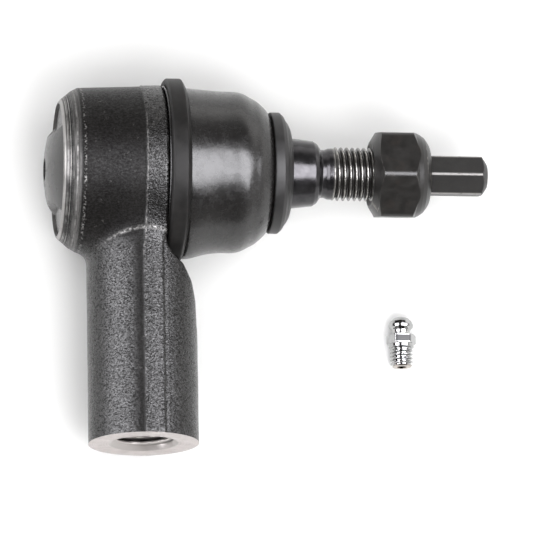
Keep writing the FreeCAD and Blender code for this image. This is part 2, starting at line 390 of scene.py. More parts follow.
# ------------------------------------------------------------------ materials
def forging_paint():
    g = Nodes("forging_black")
    blotch = g.remap(g.noise(0.12, 4.0, 0.55), 0.35, 0.68)
    fine = g.remap(g.noise(1.1, 3.0, 0.6), 0.3, 0.72)
    col = g.mix(blotch, (0.0040, 0.0037, 0.0036), (0.0088, 0.0082, 0.0079))
    col = g.mix(g.math("MULTIPLY", fine, 0.4), col, (0.022, 0.0208, 0.0202))
    # scuffs: small grey rub marks on the high spots
    scuff = g.math("MULTIPLY", g.remap(g.noise(0.28, 5.0, 0.62), 0.60, 0.70), g.remap(g.noise(2.2, 2.0), 0.50, 0.62), clamp=True)
    col = g.mix(g.math("MULTIPLY", scuff, 0.55), col, (0.12, 0.115, 0.11))
    on_head = g.remap(g.y, 46.5, 50.5)
    # rolled lip: paint rubbed off in rings by the forming roll
    r = g.radius(g.y, g.z, BALL_Y, 0.0)
    rings = g.noise(2.6, 3.0, 0.6, g.vector(g.math("MULTIPLY", g.x, 1.5), g.math("MULTIPLY", r, 0.5), 0.0))
    along = g.noise(0.16, 3.0, 0.6)
    lip = g.math("MULTIPLY", g.remap(g.x, -18.7, -19.4, smooth=True), g.remap(g.x, -21.7, -20.9, smooth=True))
    worn_and_lip_highlight = g.math("MULTIPLY", g.math("MULTIPLY", lip, g.remap(rings, 0.46, 0.62)), g.remap(along, 0.40, 0.60, 0.10, 0.75), clamp=True)
    # painted highlight: a bright line along the lip's edge near radius 17.75, joined to the rubbed-off rings and
    # painted the same light grey
    painted_lip_edge_highlight = g.math("MULTIPLY", g.remap(g.math("ABSOLUTE", g.math("ADD", r, -17.75)), 0.70, 0.35), g.remap(g.x, -20.1, -20.6), clamp=True)
    painted_lip_edge_highlight = g.math("MULTIPLY", painted_lip_edge_highlight, g.remap(along, 0.30, 0.55, 0.55, 1.0))
    worn_and_lip_highlight = g.math("MAXIMUM", worn_and_lip_highlight, painted_lip_edge_highlight)
    col = g.mix(worn_and_lip_highlight, col, (0.38, 0.37, 0.36))
    chamfer = g.math("MULTIPLY", g.remap(g.x, -16.9, -17.5, smooth=True), g.math("SUBTRACT", 1.0, lip))
    col = g.mix(g.math("MULTIPLY", chamfer, 0.35), col, (0.07, 0.067, 0.065))
    # edge where the lip's chamfer starts, and the chamfer's own rubbed streaks
    streak = g.noise(0.9, 4.0, 0.65, g.vector(g.math("MULTIPLY", g.x, 2.4), g.math("MULTIPLY", g.y, 0.14), g.math("MULTIPLY", g.z, 0.14)))
    dots = g.remap(g.noise(1.7, 3.0, 0.6), 0.50, 0.64)
    edge = g.math("MULTIPLY", g.remap(g.math("ABSOLUTE", g.math("ADD", g.x, 16.25)), 0.45, 0.10), dots, clamp=True)
    bevel = g.math("MULTIPLY", chamfer, g.remap(streak, 0.42, 0.64, 0.06, 0.42), clamp=True)
    # painted highlight: a thin bright line along the shank's first edge below the head
    painted_shank_edge_highlight = g.math("ADD", g.math("ADD", g.y, -68.3), g.math("SQRT", g.math("ADD", g.math("MULTIPLY", g.x, g.x), 256.0)))
    painted_shank_edge_highlight = g.math("MULTIPLY", g.remap(g.math("ABSOLUTE", painted_shank_edge_highlight), 0.75, 0.10), g.remap(g.z, 4.0, 8.0), clamp=True)
    painted_shank_edge_highlight = g.math("MULTIPLY", g.math("MULTIPLY", painted_shank_edge_highlight, g.remap(g.x, -12.5, -6.0)), g.remap(g.noise(1.6, 3.0, 0.6), 0.44, 0.62, 0.10, 0.85), clamp=True)
    on_shank = g.math("SUBTRACT", 1.0, on_head)
    line = g.math("MULTIPLY", g.remap(g.math("ABSOLUTE", g.math("ADD", g.x, g.lerp(on_shank, 0.30, 0.95))), 0.26, 0.06),
                  g.remap(g.noise(0.55, 4.0, 0.65), 0.46, 0.58), clamp=True)
    line = g.math("MULTIPLY", g.math("MULTIPLY", line, g.remap(g.y, 82.0, 79.0)), g.remap(g.y, 44.0, 50.0, 0.10, 0.7), clamp=True)
    corner = g.math("MULTIPLY", g.remap(g.math("ABSOLUTE", g.math("ADD", g.x, 18.25)), 0.34, 0.10), g.remap(g.noise(0.5, 4.0, 0.6), 0.36, 0.60, 0.15, 0.75), clamp=True)
    bevel = g.math("MAXIMUM", bevel, corner)
    # bare metal on the edges and chamfer streaks, plus the painted highlight line on the shank's edge, all in one light
    # grey
    bare_metal_and_highlight = g.math("MAXIMUM", g.math("MAXIMUM", edge, bevel), g.math("MAXIMUM", painted_shank_edge_highlight, g.math("MULTIPLY", line, 0.8)))
    col = g.mix(bare_metal_and_highlight, col, (0.23, 0.225, 0.22))
    metal = g.math("MULTIPLY", g.math("MAXIMUM", worn_and_lip_highlight, g.math("MULTIPLY", bare_metal_and_highlight, 0.8)), 0.85)
    rough = g.lerp(fine, 0.30, 0.21)
    groove = g.math("MULTIPLY", g.remap(g.x, -4.3, -1.6, smooth=True), g.remap(g.x, -0.75, -1.15, smooth=True))
    dull = g.math("MULTIPLY", g.remap(g.x, -0.3, -0.9), g.math("MAXIMUM", on_head, g.math("MULTIPLY", groove, 1.0)), clamp=True)
    rough = g.lerp(g.math("MULTIPLY", dull, 0.7), rough, 0.42)
    rough = g.lerp(worn_and_lip_highlight, rough, 0.30)
    peb = g.noise(2.1, 2.0, 0.55, g.vector(g.math("MULTIPLY", g.x, 0.85), g.math("MULTIPLY", g.y, 1.25), g.z), 0.7)
    grain = g.noise(4.6, 3.0, 0.6)
    n1 = g.bump(peb, 0.15, g.lerp(dull, 0.95, 0.30))
    n2 = g.bump(grain, 0.035, 0.7, n1)
    n3 = g.bump(rings, 0.03, 0.6, n2)
    return g.set(color=col, metal=metal, rough=rough, normal=n3, spec=g.lerp(dull, g.remap(peb, 0.36, 0.62, 0.07, 0.62), g.remap(peb, 0.40, 0.66, 0.06, 0.20)))


def machined_face():
    g = Nodes("machined_steel")
    r = g.radius(g.x, g.z)
    turn = g.noise(3.2, 4.0, 0.65, g.vector(g.math("MULTIPLY", r, 1.1), 0.0, 0.0))
    smudge = g.remap(g.noise(0.35, 4.0, 0.6), 0.35, 0.68)
    col = g.mix(smudge, (0.385, 0.345, 0.335), (0.31, 0.277, 0.269))
    col = g.mix(g.remap(turn, 0.40, 0.62, 0.0, 0.85), col, (0.50, 0.453, 0.441))
    # inside the bore: thread crests painted light and roots painted near-black, painted highlight and painted shade in
    # the thread
    inside = g.remap(g.y, -0.35, 0.10)
    painted_root_shade = g.remap(r, 7.25, 7.95)
    col = g.mix(g.remap(g.radius(g.x, g.z), 9.1, 8.9), col, (0.36, 0.336, 0.324))
    col = g.mix(inside, col, g.mix(painted_root_shade, (0.55, 0.52, 0.50), (0.018, 0.016, 0.015)))
    rough = g.lerp(smudge, 0.30, 0.46)
    return g.set(color=col, metal=g.lerp(inside, 0.6, 0.9), rough=rough, normal=g.bump(turn, 0.03, 0.8))


def bare_bore():
    g = Nodes("bare_bore")
    n = g.noise(0.6, 4.0)
    col = g.mix(g.remap(n, 0.35, 0.65), (0.18, 0.17, 0.16), (0.10, 0.092, 0.085))
    return g.set(color=col, metal=0.8, rough=g.remap(n, 0.3, 0.7, 0.3, 0.5), normal=g.bump(g.noise(5.0), 0.01))


def cover_paint():
    g = Nodes("cover_black")
    n = g.remap(g.noise(0.22, 4.0, 0.55), 0.35, 0.68)
    fine = g.noise(1.6, 4.0, 0.6)
    # painted highlight: light grey metal on the pressing's convex edges, together with some edge wear
    wear_and_highlight = edge_wear_and_highlight(g, 0.9)
    # the port's threaded bore painted near-black with almost no gloss: painted shade in the hole
    painted_port_shade = g.remap(g.radius(g.y, g.z, BALL_Y, 0.0), 3.02, 2.92)
    wear_and_highlight = g.math("MULTIPLY", wear_and_highlight, g.math("SUBTRACT", 1.0, painted_port_shade))
    col = g.mix(n, (0.013, 0.0120, 0.0115), (0.024, 0.0225, 0.0215))
    col = g.mix(wear_and_highlight, col, (0.26, 0.25, 0.24))
    col = g.mix(painted_port_shade, col, (0.003, 0.003, 0.003))
    rough = g.lerp(painted_port_shade, g.lerp(n, 0.22, 0.31), 0.6)
    return g.set(color=col, metal=g.math("MULTIPLY", wear_and_highlight, 0.8), rough=rough, normal=g.bump(fine, 0.018, 0.6), spec=g.lerp(painted_port_shade, 0.42, 0.05))


def boot_rubber():
    g = Nodes("boot_rubber")
    n = g.remap(g.noise(0.16, 5.0, 0.55), 0.34, 0.68)
    mott = g.remap(g.noise(0.55, 6.0, 0.68), 0.36, 0.66)
    col = g.mix(n, (0.0065, 0.0060, 0.0058), (0.0115, 0.0106, 0.0102))
    dust = g.remap(g.noise(0.5, 6.0, 0.7), 0.55, 0.75, 0.0, 0.18)
    col = g.mix(dust, col, (0.045, 0.043, 0.042))
    rough = g.lerp(mott, 0.21, 0.32)
    flow = g.noise(0.25, 2.0, 0.5)
    fine = g.noise(2.4, 4.0, 0.6)
    speck = g.noise(7.0, 2.0, 0.5)
    nn = g.bump(speck, 0.010, 0.7, g.bump(fine, 0.022, 0.7, g.bump(flow, 0.10, 0.5)))
    return g.set(color=col, rough=rough, normal=nn, spec=0.55)


def ring_rubber():
    g = Nodes("ring_rubber")
    n = g.remap(g.noise(0.3, 4.0, 0.6), 0.35, 0.68)
    col = g.mix(n, (0.0085, 0.0080, 0.0078), (0.0160, 0.0150, 0.0145))
    fine = g.noise(1.7, 4.0, 0.6)
    return g.set(color=col, rough=g.lerp(n, 0.42, 0.50), normal=g.bump(fine, 0.03, 0.7), spec=0.15)


def collar_plastic():
    g = Nodes("collar_matte")
    n = g.remap(g.noise(0.4, 4.0, 0.6), 0.35, 0.68)
    col = g.mix(n, (0.0135, 0.0130, 0.0130), (0.023, 0.022, 0.0225))
    fine = g.noise(2.5, 4.0, 0.6)
    return g.set(color=col, rough=g.lerp(n, 0.42, 0.50), normal=g.bump(fine, 0.02, 0.6), spec=0.36)


def stud_steel():
    g = Nodes("stud_steel")
    r = g.radius(g.y, g.z, BALL_Y, 0.0)
    n = g.remap(g.noise(0.5, 4.0, 0.6), 0.35, 0.68)
    turn = g.noise(3.0, 4.0, 0.65, g.vector(g.math("MULTIPLY", g.x, 2.6), 0.0, 0.0))
    # smooth ground taper
    taper = g.mix(n, (0.034, 0.033, 0.035), (0.060, 0.058, 0.061))
    # thread: crests painted bright and roots painted dark, a painted highlight on the crests and painted shade in the
    # roots
    crest = g.remap(r, 6.45, 6.93, smooth=True)
    crest = g.math("MULTIPLY", crest, g.remap(g.noise(1.5, 3.0), 0.34, 0.52, 0.45, 1.0))
    thread = g.mix(crest, (0.016, 0.0145, 0.0135), (0.34, 0.33, 0.315))
    in_thread = g.math("MULTIPLY", g.remap(g.x, 49.8, 50.5, smooth=True), g.remap(g.x, 75.6, 75.2, smooth=True))
    # hexagon tip: black oxide with rubbed corners
    rub = g.math("MULTIPLY", g.remap(r, 5.52, 5.68, smooth=True), g.remap(g.noise(0.8, 3.0), 0.3, 0.5, 0.6, 1.0))
    tip = g.mix(rub, g.mix(n, (0.0080, 0.0073, 0.0066), (0.0135, 0.0124, 0.0114)), (0.36, 0.35, 0.34))
    in_tip = g.remap(g.x, 75.5, 75.7)
    col = g.mix(in_tip, g.mix(in_thread, taper, thread), tip)
    metal = g.lerp(in_tip, g.lerp(in_thread, 0.85, g.lerp(crest, 0.4, 0.95)), g.math("MULTIPLY", rub, 0.9))
    rough = g.lerp(in_tip, g.lerp(in_thread, g.lerp(n, 0.19, 0.26), 0.26), 0.42)
    # the ball, inside, is ground bright
    ball = g.remap(g.x, 12.5, 11.5)
    col = g.mix(ball, col, (0.55, 0.55, 0.56))
    return g.set(color=col, metal=metal, rough=rough, normal=g.bump(turn, 0.02, 0.55))


def nut_oxide():
    g = Nodes("nut_black_oxide")
    n = g.remap(g.noise(0.35, 5.0, 0.6), 0.35, 0.68)
    wear_and_highlight = edge_wear_and_highlight(g, 1.0)
    col = g.mix(n, (0.0070, 0.0063, 0.0056), (0.0125, 0.0113, 0.0103))
    rust = g.remap(g.noise(0.22, 4.0, 0.6), 0.56, 0.72, 0.0, 0.35)
    col = g.mix(rust, col, (0.030, 0.0215, 0.017))
    # convex edges: edge wear and painted highlight, in light grey metal
    col = g.mix(wear_and_highlight, col, (0.26, 0.245, 0.22))
    rough = g.lerp(n, 0.30, 0.38)
    fine = g.noise(2.6, 4.0, 0.62)
    return g.set(color=col, metal=g.math("MULTIPLY", wear_and_highlight, 0.9), rough=rough, normal=g.bump(fine, 0.022, 0.6), spec=0.5)


def zinc():
    g = Nodes("bright_zinc")
    n = g.remap(g.noise(0.9, 4.0, 0.6), 0.35, 0.68)
    col = g.mix(n, (0.44, 0.44, 0.437), (0.35, 0.353, 0.356))
    end = g.remap(g.y, FIT_Y - FIT_LEN / 2 + 0.5, FIT_Y - FIT_LEN / 2 + 0.15)
    col = g.mix(g.math("MULTIPLY", end, 0.7), col, (0.36, 0.30, 0.25))
    turn = g.noise(4.0, 3.0, 0.6, g.vector(0.0, g.math("MULTIPLY", g.y, 3.0), 0.0))
    # wrench flats facing up or down: painted dark reflection, near-black and not metal, and rougher than the turned
    # surfaces
    t = g.math("SUBTRACT", FIT_Y + FIT_LEN / 2, g.y)
    painted_dark_flats = g.math("MULTIPLY", g.math("MULTIPLY", g.remap(t, 5.15, 5.25), g.remap(t, 7.0, 6.9)), g.remap(g.radius(g.x, g.z, FIT_X, FIT_Z), 3.3, 3.4), clamp=True)
    geo = g.nt.nodes.new("ShaderNodeNewGeometry")
    facing = g.nt.nodes.new("ShaderNodeSeparateXYZ")
    g.link(geo.outputs["Normal"], facing.inputs[0])
    painted_dark_flats = g.math("MULTIPLY", painted_dark_flats, g.remap(g.math("ABSOLUTE", facing.outputs[2]), 0.80, 0.92))
    col = g.mix(painted_dark_flats, col, (0.012, 0.012, 0.014))
    rough = g.lerp(painted_dark_flats, g.lerp(n, 0.035, 0.07), 0.32)
    return g.set(color=col, metal=g.lerp(painted_dark_flats, 1.0, 0.0), rough=rough, normal=g.bump(turn, 0.008, 0.5))


def nylon():
    g = Nodes("nylon")
    n = g.remap(g.noise(0.8, 3.0), 0.35, 0.68)
    return g.set(color=g.mix(n, (0.020, 0.021, 0.024), (0.030, 0.031, 0.035)), rough=g.lerp(n, 0.40, 0.5), normal=g.bump(g.noise(3.0), 0.01))


def steel(name, a, b, rough0, rough1):
    g = Nodes(name)
    n = g.remap(g.noise(0.7, 4.0, 0.6), 0.35, 0.68)
    return g.set(color=g.mix(n, a, b), metal=1.0, rough=g.lerp(n, rough0, rough1), normal=g.bump(g.noise(3.5, 3.0), 0.01))


M_FORGE, M_FACE, M_BORE, M_COVER = forging_paint(), machined_face(), bare_bore(), cover_paint()
M_BOOT, M_RING, M_COLLAR, M_STUD, M_NUT, M_ZINC, M_NYLON = (
    boot_rubber(), ring_rubber(), collar_plastic(), stud_steel(), nut_oxide(), zinc(), nylon())
M_SEAT = steel("sintered_steel", (0.30, 0.29, 0.28), (0.22, 0.21, 0.20), 0.38, 0.52)
M_SPRING = steel("spring_steel", (0.48, 0.48, 0.50), (0.34, 0.34, 0.36), 0.22, 0.34)


def finish_piece(ob, mats, body, nodes):
    ob.data.materials.clear()
    for m in (mats if isinstance(mats, list) else [mats]):
        ob.data.materials.append(m)
    if body is not None:
        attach(ob, body)
    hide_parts(*nodes)
    return ob


# ------------------------------------------------------------------ socket housing
def sd_poly(px, py, poly):
    """Signed distance to a closed polygon, negative inside."""
    poly = np.array(poly, float)
    d = np.full(px.shape, 1e9)
    s = np.ones(px.shape)
    for i in range(len(poly)):
        a, b = poly[i], poly[i - 1]
        ex, ey = b - a
        wx, wy = px - a[0], py - a[1]
        t = np.clip((wx * ex + wy * ey) / (ex * ex + ey * ey), 0, 1)
        d = np.minimum(d, (wx - ex * t) ** 2 + (wy - ey * t) ** 2)
        c1, c2, c3 = py >= a[1], py < b[1], ex * wy > ey * wx
        s = np.where((c1 & c2 & c3) | (~c1 & ~c2 & ~c3), -s, s)
    return s * np.sqrt(d)


def smin(a, b, k):
    h = np.clip(k - np.abs(a - b), 0, None) / k
    return np.minimum(a, b) - h * h * k / 4


def smax(a, b, k):
    return -smin(-a, -b, k)


HEAD = [(-21.3, -1.0), (-21.3, 17.5), (-20.95, 17.95), (-19.95, 18.75), (-18.3, 20.15), (-16.65, 21.0), (4.75, 21.8), (4.9, -1.0)]
SHANK = [(-1.0, -75.0), (14.2, -75.0), (14.2, -8.0), (-1.0, -8.0)]
NOSE = [(2.0, -1.0), (2.0, 20.3), (9.8, 20.3), (10.4, 19.7), (10.4, -1.0)]
RELIEF = [(5.3, 15.0), (5.3, 25.8), (6.9, 27.5), (10.0, 28.9), (12.4, 31.8), (13.8, 36.0), (14.3, 42.0), (24.0, 42.0), (24.0, -1.0), (11.4, -1.0), (11.4, 15.0)]


def forging(p):
    """The housing's outside: p is (n,3) mm from the ball's centre."""
    x, y, z = p[:, 0], p[:, 1], p[:, 2]
    r, s = np.hypot(y, z), np.hypot(x, z)
    f = smin(sd_poly(x, r, HEAD) - 0.3, sd_poly(s, y, SHANK), 4.6)
    f = smax(f, -sd_poly(x, r, RELIEF), 0.9)
    return np.minimum(f, sd_poly(x, r, NOSE) - 0.2)


def forging_relief(p):
    """Height of what the dies left on the surface: die line, flash band, pebbles."""
    x, y, z = p[:, 0], p[:, 1], p[:, 2]
    r = np.hypot(y, z)
    on_shank = step(-y, 17.0, 24.0)
    left = -0.45 - 0.65 * on_shank + 0.16 * perlin(p * 0.35) + 0.10 * perlin(p * 1.1)
    right = 5.6 - 1.3 * on_shank + 0.35 * perlin(p * 0.3 + 9.0)
    face = step(np.abs(z) / np.maximum(np.hypot(x, z), 1e-6), 0.80, 0.93)
    band = step(x, left - 0.16, left + 0.16) * (1 - step(x, right - 0.9, right + 0.3)) * np.where(on_shank > 0.5, face, 1.0)
    lip = step(x, -20.5, -15.8)
    trim = right - 0.45
    ragged = (0.10 * np.exp(-((x - trim) / 0.30) ** 2) - 0.13 * np.exp(-((x - trim - 0.75) / 0.26) ** 2) + 0.08 * np.exp(-((x - trim - 1.35) / 0.28) ** 2)) * step(z, 4.0, 8.0) * on_shank
    crest = np.exp(-((x - left - 0.15) / 0.28) ** 2) * (0.55 + 0.9 * perlin(p * 0.8 + 3.0)) * np.where(on_shank > 0.5, face, 1.0)
    peb = perlin(p * 0.95 + 31.0) + 0.55 * perlin(p * 1.9 + 5.0)
    rough = 0.022 + 0.02 * band + 0.012 * on_shank
    wave = 0.10 * perlin(p * 0.11 + 17.0)
    return lip * (0.20 * band + 0.10 * crest + ragged + rough * peb + wave)


def build_housing():
    m = 96
    th = circle(m)
    prof = np.array([(-21.6, 17.4), (-19.9, 18.9), (-16.7, 21.2), (5.1, 22.0), (5.2, 20.5), (10.5, 20.4)])
    a = rings_mesh("a", about_x(prof[:, :1], prof[:, 1:2], th), poles=((-21.6, BALL_Y, 0), (10.5, BALL_Y, 0)))
    prof = np.array([(14.2, -4.0), (14.2, 63.0)])
    b = rings_mesh("b", about_y(prof[:, 1:2], prof[:, :1], th), poles=((0, -4.0, 0), (0, 63.0, 0)))
    for o in bpy.context.view_layer.objects:
        o.select_set(o in (a, b))
    bpy.context.view_layer.objects.active = a
    bpy.ops.object.join()
    a.name = "housing_forging"

    def skin(size):
        mod = a.modifiers.new("skin", "REMESH")
        mod.mode = "VOXEL"
        mod.voxel_size = size * MM
        applied(a)

    skin(0.6)
    prof = np.array([(11.2, 20.8), (5.6, 20.8), (5.6, 25.6), (7.1, 27.2), (10.2, 28.6), (12.6, 31.5), (14.1, 35.9), (14.6, 42.0), (24.0, 42.0)])
    cut(a, rings_mesh("relief", about_x(prof[:, :1], prof[:, 1:2], circle(160)), poles=((11.2, BALL_Y, 0), (24.0, BALL_Y, 0))))
    skin(0.36)
    me = a.data
    co = np.empty(len(me.vertices) * 3)
    me.vertices.foreach_get("co", co)
    p = co.reshape(-1, 3) / MM - np.array([0, BALL_Y, 0])
    eps = 0.02

    def project(p, fn, times):
        for _ in range(times):
            f = fn(p)
            g = np.stack([(fn(p + eps * np.eye(3)[k]) - fn(p - eps * np.eye(3)[k])) / (2 * eps) for k in range(3)], -1)
            q = np.maximum((g * g).sum(1), 0.2)
            d = np.clip(f / q, -0.5, 0.5)[:, None] * g
            p = p - d
        return p, g

    p, g = project(p, forging, 4)
    g /= np.maximum(np.linalg.norm(g, axis=1), 1e-6)[:, None]
    p = p + g * forging_relief(p)[:, None]
    me.vertices.foreach_set("co", ((p + np.array([0, BALL_Y, 0])) * MM).ravel())
    me.update()
    # socket, rolled lip's inner edge and the stud's mouth
    prof = soften([(-23.0, 17.3, 0), (-21.6, 17.25, 0.0), (-20.7, 17.2, 0.25), (-19.1, 18.5, 0.1), (-18.0, 18.5, 0.1), (-18.0, 17.5, 0.1), (4.6, 17.5, 0.2),
                   (8.8, 13.0, 0.2), (9.0, 12.8, 0.1), (10.7, 14.3, 0.0)], 0.1, closed=False)
    prof = np.vstack([prof, [(11.5, 15.0)]])
    c = rings_mesh("c", about_x(prof[:, :1], prof[:, 1:2], circle(180)), poles=((-23.0, BALL_Y, 0), (11.5, BALL_Y, 0)))
    cut(a, c)
    # faced end, countersink and the M16 x 1.5 thread
    ys = [(-9.0, 20.0), (-1.5, 20.0), (-1.5, 8.95), (-1.42, 8.72)]
    tail = np.arange(-0.2, 38.5, 0.11)
    th = circle(120)
    rr, aa = [], []
    for y, r in ys:
        rr.append(np.full(120, r))
        aa.append(y)
    for y in tail:
        cone = 8.65 - (y + 1.42)
        r = 7.188 + 0.80 * vee(np.full(120, y), th, 1.5)
        r = np.maximum(r, cone) if cone > 7.0 else r
        r = 7.188 + (r - 7.188) * float(1 - step(y, 35.0, 37.0))
        rr.append(r)
        aa.append(y)
    rr.append(np.full(120, 7.188))
    aa.append(38.6)
    c = rings_mesh("c", about_y(np.array(aa)[:, None], np.array(rr), th), poles=((0, -9.0, 0), (0, 42.8, 0)))
    cut(a, c)
    me = a.data
    shade(me, 38.0)
    n = len(me.polygons)
    cen, nor = np.empty(n * 3), np.empty(n * 3)
    me.polygons.foreach_get("center", cen)
    me.polygons.foreach_get("normal", nor)
    cen, nor = cen.reshape(-1, 3) / MM, nor.reshape(-1, 3)
    s = np.hypot(cen[:, 0], cen[:, 2])
    r = np.hypot(cen[:, 1] - BALL_Y, cen[:, 2])
    slot = np.zeros(n, int)
    slot[(cen[:, 1] < -1.4) & (nor[:, 1] < -0.95)] = 1
    slot[(s < 9.0) & (cen[:, 1] < 44.0) & (cen[:, 1] > -1.6)] = 1
    slot[(r < 18.6) & (cen[:, 0] > -20.4) & (cen[:, 0] < 10.3) & (cen[:, 1] > 45.0)] = 2
    finish_piece(a, [M_FORGE, M_FACE, M_BORE], "housing", ["socket_housing"])
    me.polygons.foreach_set("material_index", slot)
    me.update()
    return a


# ------------------------------------------------------------------ end cover
def build_cover():
    """Pressed disc: raised bow-tie bridge between two recesses, central M6 port."""
    m = 240
    th = circle(m)
    turn = math.radians(12.5)

    def top(r, t):
        y, z = r * np.cos(t), r * np.sin(t)
        u = y * math.cos(turn) + z * math.sin(turn)
        w = -y * math.sin(turn) + z * math.cos(turn)
        edge = 8.45 + 27.6 - np.sqrt(np.maximum(27.6 ** 2 - w * w, 0.0))   # recess's inner edge
        inside = np.abs(u) - edge
        dome = 4.15 * (1 - (r / 17.2) ** 2) + 0.10
        dish = 0.55 * (1 - (r / 17.2) ** 2)
        k = 1 - step(inside, -0.10, 0.80)
        raised = dome * k + dish * (1 - k)
        raised = raised * (1 - step(r, 16.2, 17.3))
        port = -0.55 * (1 - step(r, 2.55, 3.25))
        return -20.85 - raised - port

    rs = np.concatenate([np.linspace(2.95, 17.4, 110), [17.75, 18.1, 18.42]])
    rows = []
    # bore: M6 x 1 thread, from inside out
    xs = np.arange(-22.0, -24.35, -0.08)
    for x in xs:
        rows.append(np.stack([np.full(m, x), BALL_Y + (2.46 + 0.42 * vee(np.full(m, x), th, 1.0)) * np.cos(th), (2.46 + 0.42 * vee(np.full(m, x), th, 1.0)) * np.sin(th)], -1))
    for r in rs:
        rr = np.full(m, r)
        x = top(rr, th)
        if r > 17.4:
            x = np.full(m, -20.85 + (r - 17.4) * 1.6)
        rows.append(np.stack([x, BALL_Y + rr * np.cos(th), rr * np.sin(th)], -1))
    for x, r in [(-18.2, 18.45), (-18.0, 18.3), (-18.0, 14.0), (-18.0, 8.0), (-18.0, 6.6), (-18.2, 6.4), (-21.6, 6.35), (-22.0, 6.0), (-22.0, 4.0)]:
        rr = np.full(m, r)
        rows.append(np.stack([np.full(m, x), BALL_Y + rr * np.cos(th), rr * np.sin(th)], -1))
    ob = rings_mesh("end_cover_pressing", np.array(rows), loop=True, sharp=50.0)
    return finish_piece(ob, M_COVER, "housing", ["end_cover"])


# ------------------------------------------------------------------ boot, ring, collar
def build_ring():
    prof = soften([(5.85, 22.32, 0.1), (5.8, 23.5, 0.5), (6.3, 24.18, 0.55), (9.9, 24.16, 0.5), (10.3, 23.6, 0.4), (11.2, 21.95, 0.2), (9.8, 21.93, 0.1), (9.6, 22.32, 0.1)], 0.2)
    prof = densify(prof, 0.5)
    m = 220
    th = circle(m)
    rings = about_x(prof[:, :1], prof[:, 1:2], th)
    # slightly uneven moulding
    p = rings.reshape(-1, 3)
    push = 0.05 * perlin(p * 0.25) + 0.02 * perlin(p * 0.9)
    d = p - np.array([0, BALL_Y, 0])
    d[:, 0] = 0
    d /= np.maximum(np.linalg.norm(d, axis=1), 1e-6)[:, None]
    ok = (np.linalg.norm(p[:, 1:] - np.array([BALL_Y, 0]), axis=1) > 22.6).astype(float)
    p = p + d * (np.minimum(push, 0.0) * ok)[:, None]
    ob = rings_mesh("retaining_ring", p.reshape(rings.shape), loop=True, sharp=60.0)
    return finish_piece(ob, M_RING, "housing", ["boot_retaining_ring"])


def build_boot():
    outer = smooth_curve([(11.2, 21.72), (12.6, 21.62), (15.6, 21.38), (18.5, 21.15), (21.5, 21.0), (24.0, 20.98), (25.6, 20.75), (26.9, 20.25), (28.3, 19.5), (29.8, 18.7),
                          (31.0, 17.75), (32.1, 16.7), (32.9, 15.7)], per=6)
    small = soften([(32.9, 15.7, 0), (33.38, 14.9, 0.3), (33.42, 10.6, 0.3), (33.0, 9.46, 0.3), (31.3, 9.46, 0.3), (30.7, 10.4, 0.4), (30.6, 13.6, 1.2)], 0.3, closed=False)
    inner = smooth_curve([(30.3, 14.6), (29.2, 16.3), (27.4, 17.75), (25.2, 18.7), (21.5, 19.0), (15.6, 19.35), (11.4, 19.9)], per=6)
    bead = soften([(11.4, 19.9, 0), (10.8, 20.55, 0.1), (5.45, 20.55, 0.3), (5.4, 22.2, 0.3), (9.5, 22.2, 0.1), (9.72, 21.7, 0.1), (11.2, 21.72, 0)], 0.2, closed=False)
    prof = np.vstack([outer[:-1], small[:-1], inner[:-1], bead[1:-1]])
    prof = densify(prof, 0.7)
    m = 200
    th = circle(m)
    rings = about_x(prof[:, :1], prof[:, 1:2], th)
    p = rings.reshape(-1, 3)
    x = p[:, 0]
    d = p - np.array([0, BALL_Y, 0])
    d[:, 0] = 0
    rad = np.linalg.norm(d, axis=1)
    d /= np.maximum(rad, 1e-6)[:, None]
    # the boot bellies out a little on the shank's side, and the moulding is faintly uneven
    down = np.clip(-d[:, 1], 0, 1) ** 2
    soft = step(x, 10.6, 12.2) * (1 - step(x, 26.0, 31.0))
    belly = down * 1.15 * np.exp(-((x - 11.8) / 4.2) ** 2) * step(x, 10.0, 11.2)
    uneven = soft * (0.10 * perlin(p * 0.07 + 4.0) + 0.035 * perlin(p * 0.22 + 8.0))
    p = p + d * (belly + uneven)[:, None]
    ob = rings_mesh("rubber_boot", p.reshape(rings.shape), loop=True, sharp=55.0)
    ob.data.materials.append(M_BOOT)
    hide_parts("dust_boot")
    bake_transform(ob)
    return ob


def build_collar():
    prof = soften([(33.5, 9.8, 0.1), (33.5, 11.8, 0.1), (35.4, 11.8, 0.1), (35.4, 13.8, 0.1), (33.5, 13.8, 0.1), (33.5, 15.4, 0.35), (33.75, 15.8, 0.3), (36.0, 15.8, 0.45),
                   (36.9, 15.0, 0.45), (37.5, 13.9, 0.3), (38.0, 13.3, 0.4), (38.6, 12.2, 0.7), (39.0, 10.3, 0.35), (39.0, 9.65, 0.1), (38.6, 9.42, 0.1), (33.9, 9.42, 0.1)], 0.2)
    ob = lathe_x("boot_cuff_collar", densify(prof, 0.6), 200, 50.0)
    return finish_piece(ob, M_COLLAR, "boot_cuff", ["boot_collar"])


